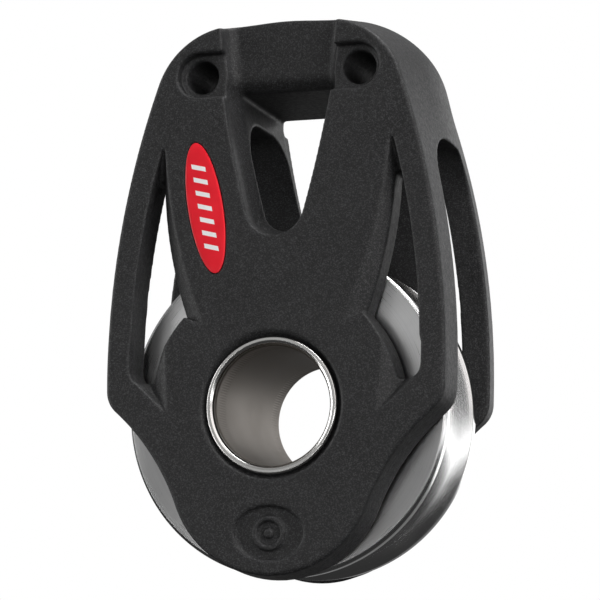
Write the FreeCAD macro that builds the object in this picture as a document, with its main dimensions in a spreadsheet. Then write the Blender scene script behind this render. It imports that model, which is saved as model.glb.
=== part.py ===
"""Single sheave block with a lashing head: a moulded cheek body, a turned sheave on a
caged roller bearing, and a hollow hub tube that holds them together.

Frame: origin on the sheave axis at mid depth, +X right, +Y to the rear, +Z up to the head.
The sheave turns about Y. Every length is in millimetres and every angle in degrees.
"""
import FreeCAD
import Part
import Sketcher

import math
import os

# Driving dimensions. Each name is also the alias of a cell of the sheet called "sizes".
DRIVING = {
    # moulded body: outline of the flat faces
    "head_top": 35.1,
    "top_arc": 25.0,
    "shoulder_arc": 7.5,
    "side_arc": 80.0,
    "side_half_width": 15.8,
    "side_centre_height": 3.7,
    "hip_arc": 2.5,
    "hip_height": 1.5,
    "waist_arc": 21.0,
    "foot_arc": 9.5,
    "foot_centre_depth": 5.4,
    # moulded body: depth, draft and edges
    "cheek_wall": 3.4,
    "draft_angle": 6.8,
    "crown_half_depth": 3.5,
    "edge_break": 0.35,
    # space between the cheeks
    "cheek_clearance": 0.4,
    "rope_gap": 11.9,
    "slot_corner": 4.0,
    # lashing opening, saddle and bridge
    "opening_top_half_width": 5.5,
    "opening_bottom_arc": 3.3,
    "opening_bottom": 15.4,
    "saddle_depth": 2.3,
    "bridge_underside": 29.5,
    "bridge_corner": 1.6,
    # side windows
    "arm_width": 2.3,
    "window_low": 2.2,
    "window_corner": 1.1,
    "window_bevel_depth": 1.0,
    "window_top": 21.6,
    "bevel_top": 23.4,
    "disc_rim": 11.5,
    "star_angle": 44.0,
    "star_bevel": 2.1,
    "star_drop": 0.6,
    "web_bow": 0.75,
    "web_tip_width": 0.15,
    "bevel_tip_gap": 0.06,
    "bevel_arm_gap": 0.3,
    "bevel_overlap": 1.0,
    # keeper holes in the head
    "keeper_offset": 7.5,
    "keeper_height": 30.2,
    "keeper_hole_radius": 1.5,
    "keeper_slot_radius": 2.05,
    "keeper_slot_depth": 1.0,
    # size medallion
    "medallion_height": -11.2,
    "medallion_half_width": 3.2,
    "medallion_half_height": 2.35,
    "medallion_depth": 0.35,
    "medallion_ring_radius": 1.45,
    "medallion_ring_wall": 0.4,
    # badges
    "badge_length": 12.2,
    "badge_width": 3.3,
    "badge_thickness": 0.3,
    "badge_proud": 0.06,
    "badge_lean": 11.0,
    "badge_offset": 6.55,
    "badge_height": 17.9,
    # hub tube
    "hub_bore_radius": 5.3,
    "hub_wall": 0.45,
    "hub_lip_flare": 0.25,
    "hub_lip_length": 0.6,
    "hub_recess": 0.05,
    "countersink_margin": 1.15,
    "countersink_depth": 1.0,
    # sheave
    "sheave_radius": 15.0,
    "sheave_half_width": 5.2,
    "rim_land": 0.9,
    "rim_chamfer": 0.3,
    "groove_lip_depth": 0.85,
    "groove_half_width": 3.6,
    "groove_root_radius": 11.2,
    # bearing
    "running_clearance": 0.03,
    "fixed_clearance": 0.05,
    "inner_race_wall": 1.2,
    "outer_race_wall": 0.6,
    "outer_race_inset": 0.1,
    "roller_radius": 1.17,
    "roller_half_length": 3.8,
    "roller_chamfer": 0.15,
    "cage_wall": 1.2,
    "cage_end_ring": 1.0,
    "cage_clearance": 0.08,
    "washer_thickness": 0.8,
    "washer_bore_gap": 0.2,
    "washer_overlap": 0.25,
}
ROLLER_COUNT = 12

# How far cutters run past what they cut: beyond the body, past a flat face, over a bevel.
CUT_MARGIN = 6.0
FACE_MARGIN = 1.0
BEVEL_MARGIN = 0.2

# Where a sketch's corners start before its constraints place them.
SKETCH_START = 20.0
SKETCH_SPREAD = 5.0

doc = FreeCAD.newDocument("sheave_block")
sheet = doc.addObject("Spreadsheet::Sheet", "sizes")
for row, (alias, value) in enumerate(DRIVING.items(), start=1):
    sheet.set("A%d" % row, alias.replace("_", " "))
    sheet.set("B%d" % row, str(value))
    sheet.setAlias("B%d" % row, alias)
doc.recompute()


def size(alias):
    """The value of a driving dimension, read from the sheet."""
    return float(getattr(sheet, alias))


# Expressions that several pieces share, so that mating sizes stay tied to each other.
SLOT_HALF = "(sizes.sheave_half_width + sizes.cheek_clearance)"
HALF_DEPTH = "(%s + sizes.cheek_wall)" % SLOT_HALF
PAST_FACE = "(%s + %s)" % (HALF_DEPTH, FACE_MARGIN)
HUB_OUTER = "(sizes.hub_bore_radius + sizes.hub_wall)"
HUB_HALF_LENGTH = "(%s - sizes.hub_recess)" % HALF_DEPTH
RACE_BORE = "(%s + sizes.fixed_clearance)" % HUB_OUTER
RACE_TRACK = "(%s + sizes.inner_race_wall)" % RACE_BORE
PITCH = "(%s + sizes.running_clearance + sizes.roller_radius)" % RACE_TRACK
OUTER_TRACK = "(%s + sizes.roller_radius + sizes.running_clearance)" % PITCH
SHEAVE_BORE = "(%s + sizes.outer_race_wall)" % OUTER_TRACK
WASHER_INNER_FACE = "(sizes.sheave_half_width + sizes.cheek_clearance / 4)"
WASHER_OUTER_FACE = "(%s + sizes.washer_thickness)" % WASHER_INNER_FACE
WASHER_BORE = "(%s + sizes.washer_bore_gap)" % RACE_TRACK
WASHER_RADIUS = "(%s + sizes.washer_overlap)" % OUTER_TRACK
CAGE_INNER = "(%s - sizes.cage_wall / 2)" % PITCH
CAGE_OUTER = "(%s + sizes.cage_wall / 2)" % PITCH
CAGE_HALF_LENGTH = "(sizes.roller_half_length + sizes.cage_clearance + sizes.cage_end_ring)"

# The same sums as numbers, for outlines that are worked out below.
slot_half = size("sheave_half_width") + size("cheek_clearance")
half_depth = slot_half + size("cheek_wall")


# ---------------------------------------------------------------- helpers

def bind(target, **expressions):
    """Bind properties of an object to expressions; a double underscore stands for a dot."""
    for path, expression in expressions.items():
        target.setExpression(path.replace("__", "."), expression)


def origin_plane(body, role):
    """One of a body's own origin planes or axes, found by its role."""
    return next(item for item in body.Origin.OriginFeatures if item.Role == role)


def body_sketch(body, name, role):
    """A sketch of a PartDesign body, attached to one of its origin planes."""
    sketch = body.newObject("Sketcher::SketchObject", name)
    sketch.AttachmentSupport = [(origin_plane(body, role), "")]
    sketch.MapMode = "FlatFace"
    return sketch


def bound_polygon(sketch, corners):
    """Closed polygon whose corners are pairs of expressions measured from the origin."""
    count = len(corners)
    start = []
    for index in range(count):
        turn = 2 * math.pi * index / count
        start.append(FreeCAD.Vector(
            SKETCH_START + SKETCH_SPREAD * math.cos(turn), SKETCH_SPREAD * math.sin(turn), 0))
    for index in range(count):
        sketch.addGeometry(Part.LineSegment(start[index], start[(index + 1) % count]))
    for index in range(count):
        sketch.addConstraint(Sketcher.Constraint("Coincident", index, 2, (index + 1) % count, 1))
    for index, pair in enumerate(corners):
        for kind, expression in zip(("DistanceX", "DistanceY"), pair):
            number = sketch.addConstraint(Sketcher.Constraint(kind, -1, 1, index, 1, 1.0))
            sketch.setExpression("Constraints[%d]" % number, expression)


def turned_part(label, profile):
    """A ring turned about Y from a closed profile of (radius, position along Y) corners."""
    body = doc.addObject("PartDesign::Body", label)
    sketch = body_sketch(body, label + "_profile", "XY_Plane")
    bound_polygon(sketch, profile)
    turning = body.newObject("PartDesign::Revolution", label + "_turning")
    turning.Profile = sketch
    turning.ReferenceAxis = (sketch, ["V_Axis"])
    turning.Angle = 360
    sketch.Visibility = False
    return body


def face_plane(depth):
    """Placement of a sketch that faces front: sketch x is X, sketch y is Z, at a depth y."""
    turn = FreeCAD.Rotation(FreeCAD.Vector(1, 0, 0), 90)
    return FreeCAD.Placement(FreeCAD.Vector(0, depth, 0), turn)


def drawn_outline(name, edges, depth):
    """A free sketch of ready edges at a depth, facing front."""
    sketch = doc.addObject("Sketcher::SketchObject", name)
    sketch.Placement = face_plane(depth)
    sketch.addGeometry(edges)
    return sketch


def extruded(name, sketch, length_expression):
    """A prism through mid depth, as long each way along Y as the expression says."""
    prism = doc.addObject("Part::Extrusion", name)
    prism.Base = sketch
    prism.DirMode = "Custom"
    prism.Dir = FreeCAD.Vector(0, 1, 0)
    prism.Solid = True
    bind(prism, LengthFwd=length_expression, LengthRev=length_expression)
    return prism


def lofted(name, sections):
    """A ruled solid through a row of sketches."""
    loft = doc.addObject("Part::Loft", name)
    loft.Sections = sections
    loft.Solid = True
    loft.Ruled = True
    return loft


def mirrored(source, normal):
    """The mirror image of an object in the plane through the origin with this normal."""
    image = doc.addObject("Part::Mirroring", source.Name + "_mirror")
    image.Source = source
    image.Normal = normal
    image.Base = FreeCAD.Vector(0, 0, 0)
    return image


def both_sides(source):
    """An object and its mirror image in the YZ plane."""
    return [source, mirrored(source, FreeCAD.Vector(1, 0, 0))]


def both_faces(source):
    """An object and its mirror image in the XZ plane."""
    return [source, mirrored(source, FreeCAD.Vector(0, 1, 0))]


def circle_meeting(centre_a, reach_a, centre_b, reach_b, side):
    """Point at two given distances from two centres, on the left (+1) or right (-1) of a-b."""
    across = centre_b - centre_a
    gap = across.Length
    along = (reach_a ** 2 - reach_b ** 2 + gap ** 2) / (2 * gap)
    aside = math.sqrt(reach_a ** 2 - along ** 2)
    unit = across / gap
    normal = FreeCAD.Vector(-unit.y, unit.x, 0)
    return centre_a + unit * along + normal * aside * side


def arc_about(centre, first, last, bulge):
    """Arc from first to last about a centre; bulge says where its middle lies from it."""
    radius = (first - centre).Length
    middle = centre + bulge.normalize() * radius
    return Part.Arc(first, middle, last)


# ---------------------------------------------------------------- outline of the body

def outline_centres():
    """Centres of the right half's arcs, from the top arc down to the foot arc."""
    top = FreeCAD.Vector(0, size("head_top") - size("top_arc"), 0)
    side = FreeCAD.Vector(size("side_half_width") - size("side_arc"), size("side_centre_height"), 0)
    shoulder = circle_meeting(
        top, size("top_arc") - size("shoulder_arc"), side, size("side_arc") - size("shoulder_arc"), -1)
    hip_reach = size("side_arc") - size("hip_arc")
    hip_drop = size("hip_height") - side.y
    hip = FreeCAD.Vector(side.x + math.sqrt(hip_reach ** 2 - hip_drop ** 2), size("hip_height"), 0)
    foot = FreeCAD.Vector(0, -size("foot_centre_depth"), 0)
    waist = circle_meeting(
        foot, size("waist_arc") + size("foot_arc"), hip, size("waist_arc") + size("hip_arc"), -1)
    return top, shoulder, side, hip, waist, foot


def outline_joints(grow):
    """Points where the right half's arcs meet, top to bottom, for an outline grown all round."""
    top, shoulder, side, hip, waist, foot = outline_centres()

    def away(centre, through, reach):
        return centre + (through - centre).normalize() * reach

    return [
        FreeCAD.Vector(0, top.y + size("top_arc") + grow, 0),
        away(top, shoulder, size("top_arc") + grow),
        away(side, shoulder, size("side_arc") + grow),
        away(side, hip, size("side_arc") + grow),
        away(hip, waist, size("hip_arc") + grow),
        away(foot, waist, size("foot_arc") + grow),
        FreeCAD.Vector(0, foot.y - size("foot_arc") - grow, 0),
    ]


def flip(point):
    """Mirror image of a point in the vertical axis."""
    return FreeCAD.Vector(-point.x, point.y, 0)


def body_outline(grow):
    """The closed outline of a face, grown by an offset, as a ring of tangent arcs."""
    centres = outline_centres()
    joints = outline_joints(grow)
    right = []
    left = []
    for centre, first, last in zip(centres, joints, joints[1:]):
        bulge = (first + last) / 2 - centre
        arc = arc_about(centre, first, last, bulge)
        right.append(arc)
        middle = arc.value((arc.FirstParameter + arc.LastParameter) / 2)
        left.append(Part.Arc(flip(last), flip(middle), flip(first)))
    return right + left[::-1]


def draft_at(depth):
    """How far the outline has grown at a distance from the mid plane: draft, then a crown."""
    slope = math.tan(math.radians(size("draft_angle")))
    crown = size("crown_half_depth")
    edge_plane = half_depth - size("edge_break")
    if depth >= crown:
        return (edge_plane - depth) * slope
    return (edge_plane - crown) * slope + (crown ** 2 - depth ** 2) / (2 * crown) * slope


def make_blank():
    """The drafted block that the body is cut from, widest at mid depth."""
    edge_plane = half_depth - size("edge_break")
    crown = size("crown_half_depth")
    depths = [-edge_plane, -crown, -crown / 2, 0.0, crown / 2, crown, edge_plane]
    front = drawn_outline("front_face_outline", body_outline(-size("edge_break")), -half_depth)
    sections = [front]
    for number, depth in enumerate(depths, start=1):
        outline = body_outline(draft_at(abs(depth)))
        sections.append(drawn_outline("station_%d_outline" % number, outline, depth))
    rear = drawn_outline("rear_face_outline", body_outline(-size("edge_break")), half_depth)
    return lofted("blank", sections + [rear])


# ---------------------------------------------------------------- cuts in the body

def cut_sheave_slot():
    """Space between the cheeks, open below and at both sides, arched under the head."""
    reach = size("side_half_width") + CUT_MARGIN
    foot = size("foot_centre_depth") + size("foot_arc") + CUT_MARGIN
    slot = doc.addObject("Part::Box", "slot_block")
    slot.Length = 2 * reach
    slot.Placement.Base = FreeCAD.Vector(-reach, 0, -foot)
    bind(
        slot, Width="2 * " + SLOT_HALF, Placement__Base__y="-" + SLOT_HALF,
        Height="sizes.sheave_radius + sizes.rope_gap + %s" % foot)
    doc.recompute()
    corners = []
    for index, edge in enumerate(slot.Shape.Edges, start=1):
        box = edge.BoundBox
        if box.XLength > reach and box.ZMin > 0:
            corners.append((index, size("slot_corner"), size("slot_corner")))
    rounded = doc.addObject("Part::Fillet", "sheave_slot")
    rounded.Base = slot
    rounded.Edges = corners
    return rounded


def opening_outline(top):
    """Tall U of the lashing opening: flared sides down to a round bottom."""
    low_centre = size("opening_bottom") + size("opening_bottom_arc")
    rise = size("head_top") - low_centre
    slope = math.atan2(size("opening_top_half_width") - size("opening_bottom_arc"), rise)
    radius = size("opening_bottom_arc")
    low = FreeCAD.Vector(radius * math.cos(slope), low_centre - radius * math.sin(slope), 0)
    high = FreeCAD.Vector(low.x + (top - low.y) * math.tan(slope), top, 0)
    bottom = FreeCAD.Vector(0, size("opening_bottom"), 0)
    return [
        Part.LineSegment(high, low),
        Part.Arc(low, bottom, flip(low)),
        Part.LineSegment(flip(low), flip(high)),
        Part.LineSegment(flip(high), high),
    ]


def cut_lashing_opening():
    """Opening under the bridge with a saddle on each face that leads over the top."""
    above = size("head_top") + CUT_MARGIN
    outline = drawn_outline("opening_outline", opening_outline(above), 0)
    passage = extruded("passage", outline, PAST_FACE)
    bar = doc.addObject("Part::Box", "bridge_bar")
    reach = size("opening_top_half_width") + CUT_MARGIN
    bar.Length = 2 * reach
    bar.Placement.Base.x = -reach
    saddle = "(%s - sizes.saddle_depth)" % HALF_DEPTH
    bind(
        bar, Width="2 * " + saddle, Placement__Base__y="-" + saddle,
        Placement__Base__z="sizes.bridge_underside", Height="sizes.head_top + %s" % CUT_MARGIN)
    doc.recompute()
    corners = []
    for index, edge in enumerate(bar.Shape.Edges, start=1):
        box = edge.BoundBox
        if box.XLength > reach and box.ZMax < size("head_top"):
            corners.append((index, size("bridge_corner"), size("bridge_corner")))
    bridge = doc.addObject("Part::Fillet", "bridge")
    bridge.Base = bar
    bridge.Edges = corners
    opening = doc.addObject("Part::Cut", "lashing_opening")
    opening.Base = passage
    opening.Tool = bridge
    return opening


def polar(radius, angle):
    """Point at a radius from the hub axis, at an angle above horizontal."""
    turn = math.radians(angle)
    return FreeCAD.Vector(radius * math.cos(turn), radius * math.sin(turn), 0)


def arm_point(height):
    """Point at a height on the inner side of the right arm, which follows the outer side."""
    centre = outline_centres()[2]
    reach = size("side_arc") - size("arm_width")
    return FreeCAD.Vector(centre.x + math.sqrt(reach ** 2 - (height - centre.y) ** 2), height, 0)


def star_corner():
    """Corner where the web meets the rim of the hub disc."""
    return polar(size("disc_rim"), size("star_angle"))


def web_edge(star, tip):
    """Edge of the web from the star corner up to the window's tip, bowed outwards."""
    chord = tip - star
    bow = FreeCAD.Vector(chord.y, -chord.x, 0).normalize() * size("web_bow")
    return Part.Arc(star, (tip + star) / 2 + bow, tip)


def window_outline():
    """One side window: the arm's inner side, the hub disc's rim and the central web's edge."""
    tip = arm_point(size("window_top"))
    tip_web = tip - FreeCAD.Vector(size("web_tip_width"), 0, 0)
    corner_start = arm_point(size("window_low") + size("window_corner"))
    corner_end = FreeCAD.Vector(corner_start.x - size("window_corner"), size("window_low"), 0)
    corner_bend = math.sqrt(0.5) * size("window_corner")
    corner_middle = FreeCAD.Vector(corner_end.x + corner_bend, corner_start.y - corner_bend, 0)
    low_angle = math.degrees(math.asin(size("window_low") / size("disc_rim")))
    disc_low = polar(size("disc_rim"), low_angle)
    disc_middle = polar(size("disc_rim"), (size("star_angle") + low_angle) / 2)
    star = star_corner()
    return [
        Part.Arc(tip, arm_point((tip.y + corner_start.y) / 2), corner_start),
        Part.Arc(corner_start, corner_middle, corner_end),
        Part.LineSegment(corner_end, disc_low),
        Part.Arc(disc_low, disc_middle, star),
        web_edge(star, tip_web),
        Part.LineSegment(tip_web, tip),
    ]


def bevel_outline(bevel, tip_height):
    """Section of the cut that bevels the web: from the web's edge well into the window."""
    along_ridge = FreeCAD.Vector(1, size("star_drop") / size("star_bevel"), 0)
    star = star_corner()
    star_outer = star - along_ridge * bevel
    star_inner = star + along_ridge * size("bevel_overlap")
    tip = arm_point(tip_height) - FreeCAD.Vector(size("bevel_tip_gap"), 0, 0)
    tip_web = tip - FreeCAD.Vector(size("web_tip_width"), 0, 0)
    arm_middle = arm_point((star.y + size("window_top")) / 2)
    arm_low = arm_middle - FreeCAD.Vector(size("bevel_arm_gap"), 0, 0)
    return [
        Part.LineSegment(tip, arm_low),
        Part.LineSegment(arm_low, star_inner),
        Part.LineSegment(star_inner, star_outer),
        web_edge(star_outer, tip_web),
        Part.LineSegment(tip_web, tip),
    ]


def cut_windows():
    """Side windows through both cheeks, with a bevel along the web that widens to the star."""
    shaft_outline = drawn_outline("window_outline", window_outline(), 0)
    shaft = extruded("window_shaft", shaft_outline, PAST_FACE)
    cuts = both_sides(shaft)
    depth = size("window_bevel_depth")
    inner_sections = bevel_outline(-BEVEL_MARGIN, size("window_top"))
    inner = drawn_outline("bevel_inner_outline", inner_sections, depth - half_depth)
    widest = size("star_bevel") * (1 + BEVEL_MARGIN / depth)
    outer_sections = bevel_outline(widest, size("bevel_top"))
    outer = drawn_outline("bevel_outer_outline", outer_sections, -half_depth - BEVEL_MARGIN)
    bevel = lofted("window_bevel", [inner, outer])
    for half in both_sides(bevel):
        cuts.extend(both_faces(half))
    return cuts


def keeper_slot_outline():
    """Slot round a keeper hole, closed by a round end and open to the saddle."""
    radius = size("keeper_slot_radius")
    high = size("keeper_height") + radius
    low = size("keeper_height") - radius
    inner = size("opening_bottom_arc")
    end = size("keeper_offset")
    corners = [
        FreeCAD.Vector(inner, low, 0),
        FreeCAD.Vector(end, low, 0),
        FreeCAD.Vector(end, high, 0),
        FreeCAD.Vector(inner, high, 0),
    ]
    round_end = FreeCAD.Vector(end + radius, size("keeper_height"), 0)
    return [
        Part.LineSegment(corners[0], corners[1]),
        Part.Arc(corners[1], round_end, corners[2]),
        Part.LineSegment(corners[2], corners[3]),
        Part.LineSegment(corners[3], corners[0]),
    ]


def rod_along_y(name, radius, length, height="0", offset="0"):
    """A cylinder along Y, centred on mid depth, from expressions of its sizes and place."""
    rod = doc.addObject("Part::Cylinder", name)
    rod.Placement = FreeCAD.Placement(
        FreeCAD.Vector(0, 0, 0), FreeCAD.Rotation(FreeCAD.Vector(1, 0, 0), -90))
    bind(
        rod, Radius=radius, Height="2 * (%s)" % length, Placement__Base__y="-(%s)" % length,
        Placement__Base__z=height, Placement__Base__x=offset)
    return rod


def cut_keepers():
    """Two holes through the head, each in a shallow slot that opens into the saddle."""
    hole = rod_along_y(
        "keeper_hole", "sizes.keeper_hole_radius", PAST_FACE,
        "sizes.keeper_height", "sizes.keeper_offset")
    cuts = both_sides(hole)
    slot = doc.addObject("Part::Extrusion", "keeper_slot")
    slot.Base = drawn_outline(
        "keeper_slot_outline", keeper_slot_outline(), -half_depth - FACE_MARGIN)
    slot.DirMode = "Custom"
    slot.Dir = FreeCAD.Vector(0, 1, 0)
    slot.Solid = True
    bind(slot, LengthFwd="%s + sizes.keeper_slot_depth" % FACE_MARGIN)
    for half in both_sides(slot):
        cuts.extend(both_faces(half))
    return cuts


def cut_hub_seat():
    """Bore for the hub tube, a countersink at each face and seats for the thrust washers."""
    bore = rod_along_y("hub_seat", RACE_BORE, PAST_FACE)
    seat = rod_along_y(
        "washer_seat", WASHER_RADIUS + " + sizes.fixed_clearance", WASHER_OUTER_FACE)
    cone = doc.addObject("Part::Cone", "countersink")
    cone.Placement.Rotation = FreeCAD.Rotation(FreeCAD.Vector(1, 0, 0), 90)
    bind(
        cone, Radius1=RACE_BORE, Radius2=HUB_OUTER + " + sizes.countersink_margin",
        Height="sizes.countersink_depth",
        Placement__Base__y="-(%s - sizes.countersink_depth)" % HALF_DEPTH)
    return [bore, seat] + both_faces(cone)


def ellipse_edges(half_width, half_height, centre, lean=0.0):
    """A closed ellipse as an edge list, with its long axis turned by lean."""
    long_half = max(half_width, half_height)
    short_half = min(half_width, half_height)
    ellipse = Part.Ellipse(FreeCAD.Vector(0, 0, 0), long_half, short_half)
    turn = lean if half_width >= half_height else lean + 90
    ellipse.rotate(FreeCAD.Placement(FreeCAD.Vector(0, 0, 0), FreeCAD.Vector(0, 0, 1), turn))
    ellipse.translate(centre)
    return [ellipse]


def face_circle(centre, radius):
    """A circle of a face sketch."""
    return Part.Circle(centre, FreeCAD.Vector(0, 0, 1), radius)


def face_prism(name, edges, low, high):
    """A prism between two depths measured outwards from mid depth, on the front face."""
    prism = doc.addObject("Part::Extrusion", name)
    prism.Base = drawn_outline(name + "_outline", edges, -high)
    prism.DirMode = "Custom"
    prism.Dir = FreeCAD.Vector(0, 1, 0)
    prism.Solid = True
    prism.LengthFwd = high - low
    return prism


def cut_medallion():
    """Oval recess near the foot with a plain raised ring and a centre dot."""
    centre = FreeCAD.Vector(0, size("medallion_height"), 0)
    floor = half_depth - size("medallion_depth")
    above = half_depth + FACE_MARGIN
    oval = ellipse_edges(size("medallion_half_width"), size("medallion_half_height"), centre)
    pocket = face_prism("medallion_pocket", oval, floor, above)
    ring_outer = size("medallion_ring_radius")
    ring_inner = ring_outer - size("medallion_ring_wall")
    outer = face_prism("medallion_ring_outer", [face_circle(centre, ring_outer)], 0, half_depth)
    inner = face_prism("medallion_ring_inner", [face_circle(centre, ring_inner)], 0, above)
    ring = doc.addObject("Part::Cut", "medallion_ring")
    ring.Base = outer
    ring.Tool = inner
    dot_edge = face_circle(centre, size("medallion_ring_wall"))
    dot = face_prism("medallion_dot", [dot_edge], 0, half_depth)
    raised = doc.addObject("Part::MultiFuse", "medallion_motif")
    raised.Shapes = [ring, dot]
    medallion = doc.addObject("Part::Cut", "medallion")
    medallion.Base = pocket
    medallion.Tool = raised
    return both_faces(medallion)


def badge_centre():
    """Centre of the front badge, on the left arm of the web."""
    return FreeCAD.Vector(-size("badge_offset"), size("badge_height"), 0)


def badge_ellipse(grow):
    """Outline of a badge, grown by a gap, its long axis leaning with the web."""
    half_width = size("badge_width") / 2 + grow
    half_length = size("badge_length") / 2 + grow
    return ellipse_edges(half_width, half_length, badge_centre(), size("badge_lean"))


def half_turn(source):
    """A copy of an object turned half round the vertical axis, for the rear face."""
    turned = doc.addObject("Part::Compound", source.Name + "_rear")
    turned.Links = [source]
    turned.Placement.Rotation = FreeCAD.Rotation(FreeCAD.Vector(0, 0, 1), 180)
    return turned


def cut_badge_seats():
    """Shallow oval seats that hold the two badges."""
    floor = half_depth + size("badge_proud") - size("badge_thickness")
    above = half_depth + FACE_MARGIN
    seat = face_prism("badge_seat", badge_ellipse(size("fixed_clearance")), floor, above)
    return [seat, half_turn(seat)]


def make_cheek_body():
    """The moulded body: one piece with the head, the bridge and both cheeks."""
    blank = make_blank()
    cuts = [cut_sheave_slot(), cut_lashing_opening()]
    cuts += cut_windows()
    cuts += cut_keepers()
    cuts += cut_hub_seat()
    cuts += cut_medallion()
    cuts += cut_badge_seats()
    removed = doc.addObject("Part::MultiFuse", "removed_material")
    removed.Shapes = cuts
    body = doc.addObject("Part::Cut", "cheek_body")
    body.Base = blank
    body.Tool = removed
    return body


# ---------------------------------------------------------------- badges

def make_badges():
    """Thin oval badges in their seats, front and rear."""
    floor = half_depth + size("badge_proud") - size("badge_thickness")
    front = face_prism("front_badge", badge_ellipse(0), floor, half_depth + size("badge_proud"))
    plate = face_prism("rear_badge_plate", badge_ellipse(0), floor, half_depth + size("badge_proud"))
    rear = half_turn(plate)
    rear.Label = "rear_badge"
    return [front, rear]


# ---------------------------------------------------------------- hub, sheave and bearing

def make_hub_tube():
    """Hollow hub: a thin tube with a lip flared outwards at each end."""
    lip_start = "(%s - sizes.hub_lip_length)" % HUB_HALF_LENGTH
    lip_bore = "sizes.hub_bore_radius + sizes.hub_lip_flare"
    lip_outer = "%s + sizes.hub_lip_flare" % HUB_OUTER
    return turned_part("hub_tube", [
        ("sizes.hub_bore_radius", "-" + lip_start),
        (lip_bore, "-" + HUB_HALF_LENGTH),
        (lip_outer, "-" + HUB_HALF_LENGTH),
        (HUB_OUTER, "-" + lip_start),
        (HUB_OUTER, lip_start),
        (lip_outer, HUB_HALF_LENGTH),
        (lip_bore, HUB_HALF_LENGTH),
        ("sizes.hub_bore_radius", lip_start),
    ])


def ring_profile(inner, outer, low, high):
    """Corners of a plain ring's rectangular section."""
    return [(inner, low), (outer, low), (outer, high), (inner, high)]


def make_sheave():
    """Sheave: chamfered rims, a conical lip inside each and a round rope seat between."""
    lip_radius = "(sizes.sheave_radius - sizes.groove_lip_depth)"
    seat_depth = "(%s - sizes.groove_root_radius)" % lip_radius
    seat_radius = (
        "((sizes.groove_half_width * sizes.groove_half_width + {0} * {0}) / (2 * {0}))"
        .format(seat_depth))
    rim_inner = "(sizes.sheave_half_width - sizes.rim_chamfer - sizes.rim_land)"
    rim_outer = "(sizes.sheave_half_width - sizes.rim_chamfer)"
    chamfer_radius = "(sizes.sheave_radius - sizes.rim_chamfer)"
    sheave = turned_part("sheave", [
        (SHEAVE_BORE, "-sizes.sheave_half_width"),
        (chamfer_radius, "-sizes.sheave_half_width"),
        ("sizes.sheave_radius", "-" + rim_outer),
        ("sizes.sheave_radius", "-" + rim_inner),
        (lip_radius, "-sizes.groove_half_width"),
        (lip_radius, "sizes.groove_half_width"),
        ("sizes.sheave_radius", rim_inner),
        ("sizes.sheave_radius", rim_outer),
        (chamfer_radius, "sizes.sheave_half_width"),
        (SHEAVE_BORE, "sizes.sheave_half_width"),
    ])
    doc.recompute()
    seat = body_sketch(sheave, "rope_seat_profile", "XY_Plane")
    seat.addGeometry(face_circle(FreeCAD.Vector(SKETCH_START, 0, 0), SKETCH_SPREAD))
    seat.addConstraint(Sketcher.Constraint("DistanceX", -1, 1, 0, 3, SKETCH_START))
    seat.addConstraint(Sketcher.Constraint("PointOnObject", 0, 3, -1))
    seat.addConstraint(Sketcher.Constraint("Radius", 0, SKETCH_SPREAD))
    seat.setExpression("Constraints[0]", "sizes.groove_root_radius + " + seat_radius)
    seat.setExpression("Constraints[2]", seat_radius)
    doc.recompute()
    groove = sheave.newObject("PartDesign::Groove", "rope_seat")
    groove.Profile = seat
    groove.ReferenceAxis = (seat, ["V_Axis"])
    groove.Angle = 360
    seat.Visibility = False
    return sheave


def make_races_and_washers():
    """Fixed inner race on the hub, outer race in the sheave, a thrust washer at each side."""
    inner_race = turned_part("inner_race", ring_profile(
        RACE_BORE, RACE_TRACK, "-" + WASHER_OUTER_FACE, WASHER_OUTER_FACE))
    race_end = "(sizes.sheave_half_width - sizes.outer_race_inset)"
    outer_race = turned_part("outer_race", ring_profile(
        OUTER_TRACK, SHEAVE_BORE, "-" + race_end, race_end))
    front_washer = turned_part("front_thrust_washer", ring_profile(
        WASHER_BORE, WASHER_RADIUS, "-" + WASHER_OUTER_FACE, "-" + WASHER_INNER_FACE))
    rear_washer = turned_part("rear_thrust_washer", ring_profile(
        WASHER_BORE, WASHER_RADIUS, WASHER_INNER_FACE, WASHER_OUTER_FACE))
    return [inner_race, outer_race, front_washer, rear_washer]


def make_roller_cage():
    """Cage ring at the roller pitch with one pocket for each roller."""
    cage = turned_part("roller_cage", ring_profile(
        CAGE_INNER, CAGE_OUTER, "-" + CAGE_HALF_LENGTH, CAGE_HALF_LENGTH))
    doc.recompute()
    pocket_sketch = body_sketch(cage, "roller_pocket_profile", "XZ_Plane")
    start = FreeCAD.Vector(SKETCH_START, 0, 0)
    pocket_sketch.addGeometry(face_circle(start, size("roller_radius")))
    pocket_sketch.addConstraint(Sketcher.Constraint("DistanceX", -1, 1, 0, 3, SKETCH_START))
    pocket_sketch.addConstraint(Sketcher.Constraint("PointOnObject", 0, 3, -1))
    pocket_sketch.addConstraint(Sketcher.Constraint("Radius", 0, size("roller_radius")))
    pocket_sketch.setExpression("Constraints[0]", PITCH)
    pocket_sketch.setExpression("Constraints[2]", "sizes.roller_radius + sizes.cage_clearance")
    doc.recompute()
    pocket = cage.newObject("PartDesign::Pocket", "roller_pocket")
    pocket.Profile = pocket_sketch
    pocket.Midplane = True
    bind(pocket, Length="2 * (sizes.roller_half_length + sizes.cage_clearance)")
    doc.recompute()
    pattern = cage.newObject("PartDesign::PolarPattern", "roller_pockets")
    pattern.Originals = [pocket]
    pattern.Axis = (origin_plane(cage, "Y_Axis"), [""])
    pattern.Angle = 360
    pattern.Occurrences = ROLLER_COUNT
    cage.Tip = pattern
    pocket_sketch.Visibility = False
    return cage


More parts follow.
